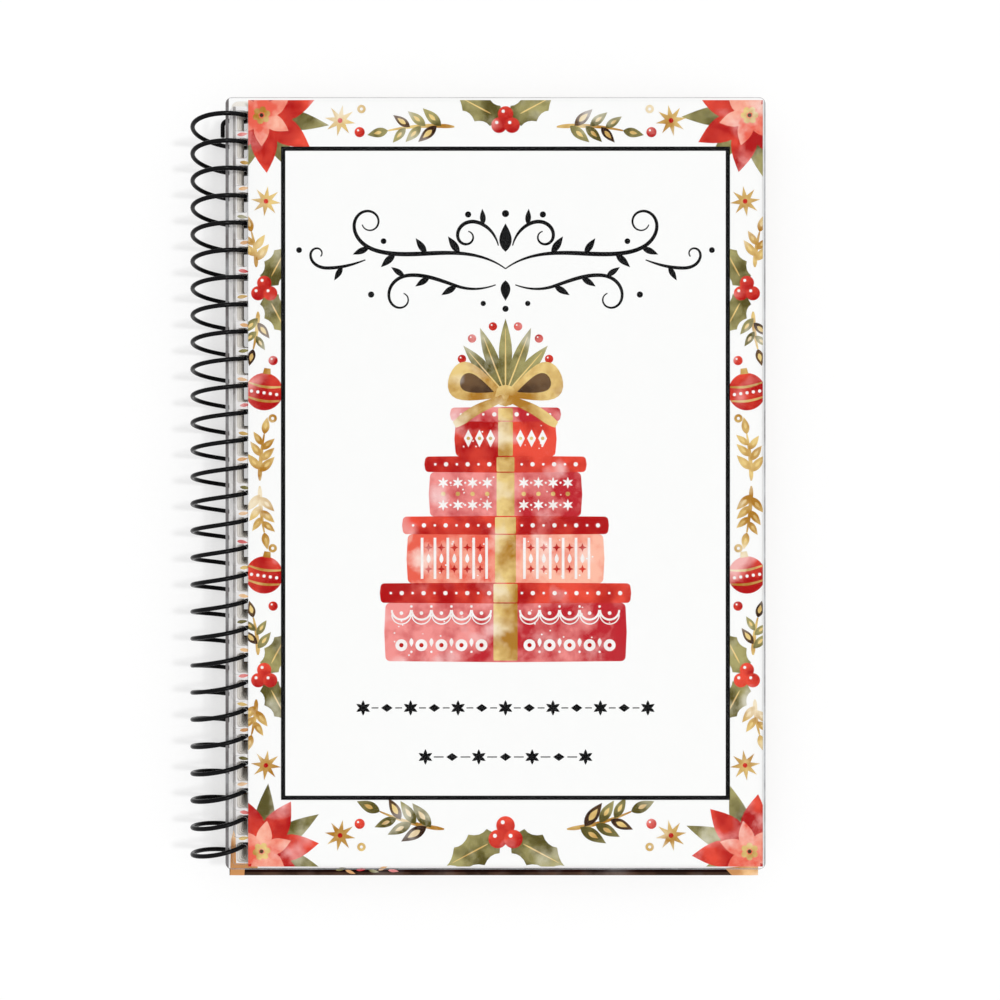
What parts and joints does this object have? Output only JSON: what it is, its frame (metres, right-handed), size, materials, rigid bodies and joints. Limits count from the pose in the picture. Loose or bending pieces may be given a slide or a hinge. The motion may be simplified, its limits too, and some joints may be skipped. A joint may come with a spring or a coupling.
{
  "type": "gift card book",
  "caption": "Coil-bound booklet with a clear front sheet over a printed card, a title page, card leaves that each carry a clear pocket for one card, and a back board.",
  "frame": {"origin": "middle of the footprint, on the surface that the coil touches, with the book lying on its back", "axes": "+Z out of the front cover, +Y up the page, +X from the coil towards the fore edge"},
  "size_m": [0.13, 0.175, 0.0139],
  "materials": {
    "black_wire": "glossy black coating",
    "back_board": "kraft board",
    "clear_sheet_film": "clear sheet",
    "front_card": "smooth white card, printed",
    "title_paper": "ivory card, printed border",
    "leaf_card": "ivory card",
    "pocket_film": "clear film"
  },
  "bodies": {
    "binding": {"coil": "black_wire", "back_cover": "back_board"},
    "page_10": {"leaf_10": "leaf_card", "pocket_10": "pocket_film"},
    "page_09": {"leaf_09": "leaf_card", "pocket_09": "pocket_film"},
    "page_08": {"leaf_08": "leaf_card", "pocket_08": "pocket_film"},
    "page_07": {"leaf_07": "leaf_card", "pocket_07": "pocket_film"},
    "page_06": {"leaf_06": "leaf_card", "pocket_06": "pocket_film"},
    "page_05": {"leaf_05": "leaf_card", "pocket_05": "pocket_film"},
    "page_04": {"leaf_04": "leaf_card", "pocket_04": "pocket_film"},
    "page_03": {"leaf_03": "leaf_card", "pocket_03": "pocket_film"},
    "page_02": {"leaf_02": "leaf_card", "pocket_02": "pocket_film"},
    "page_01": {"leaf_01": "leaf_card", "pocket_01": "pocket_film"},
    "opening_page": {"title_page": "title_paper"},
    "front_cover": {"clear_sheet": "clear_sheet_film", "cover_card": "front_card"}
  },
  "joints": [
    {"name": "page_10_turn", "type": "hinge", "parent": "binding", "child": "page_10", "pos_m": [-0.05807, 0, 0.00693], "axis": [0, -1, 0], "range_deg": [0, 180]},
    {"name": "page_09_turn", "type": "hinge", "parent": "page_10", "child": "page_09", "pos_m": [-0.05807, 0, 0.00693], "axis": [0, -1, 0], "range_deg": [0, 180]},
    {"name": "page_08_turn", "type": "hinge", "parent": "page_09", "child": "page_08", "pos_m": [-0.05807, 0, 0.00693], "axis": [0, -1, 0], "range_deg": [0, 180]},
    {"name": "page_07_turn", "type": "hinge", "parent": "page_08", "child": "page_07", "pos_m": [-0.05807, 0, 0.00693], "axis": [0, -1, 0], "range_deg": [0, 180]},
    {"name": "page_06_turn", "type": "hinge", "parent": "page_07", "child": "page_06", "pos_m": [-0.05807, 0, 0.00693], "axis": [0, -1, 0], "range_deg": [0, 180]},
    {"name": "page_05_turn", "type": "hinge", "parent": "page_06", "child": "page_05", "pos_m": [-0.05807, 0, 0.00693], "axis": [0, -1, 0], "range_deg": [0, 180]},
    {"name": "page_04_turn", "type": "hinge", "parent": "page_05", "child": "page_04", "pos_m": [-0.05807, 0, 0.00693], "axis": [0, -1, 0], "range_deg": [0, 180]},
    {"name": "page_03_turn", "type": "hinge", "parent": "page_04", "child": "page_03", "pos_m": [-0.05807, 0, 0.00693], "axis": [0, -1, 0], "range_deg": [0, 180]},
    {"name": "page_02_turn", "type": "hinge", "parent": "page_03", "child": "page_02", "pos_m": [-0.05807, 0, 0.00693], "axis": [0, -1, 0], "range_deg": [0, 180]},
    {"name": "page_01_turn", "type": "hinge", "parent": "page_02", "child": "page_01", "pos_m": [-0.05807, 0, 0.00693], "axis": [0, -1, 0], "range_deg": [0, 180]},
    {"name": "opening_page_turn", "type": "hinge", "parent": "page_01", "child": "opening_page", "pos_m": [-0.05807, 0, 0.00693], "axis": [0, -1, 0], "range_deg": [0, 180]},
    {"name": "front_cover_turn", "type": "hinge", "parent": "opening_page", "child": "front_cover", "pos_m": [-0.05807, 0, 0.00693], "axis": [0, -1, 0], "range_deg": [0, 180]}
  ]
}
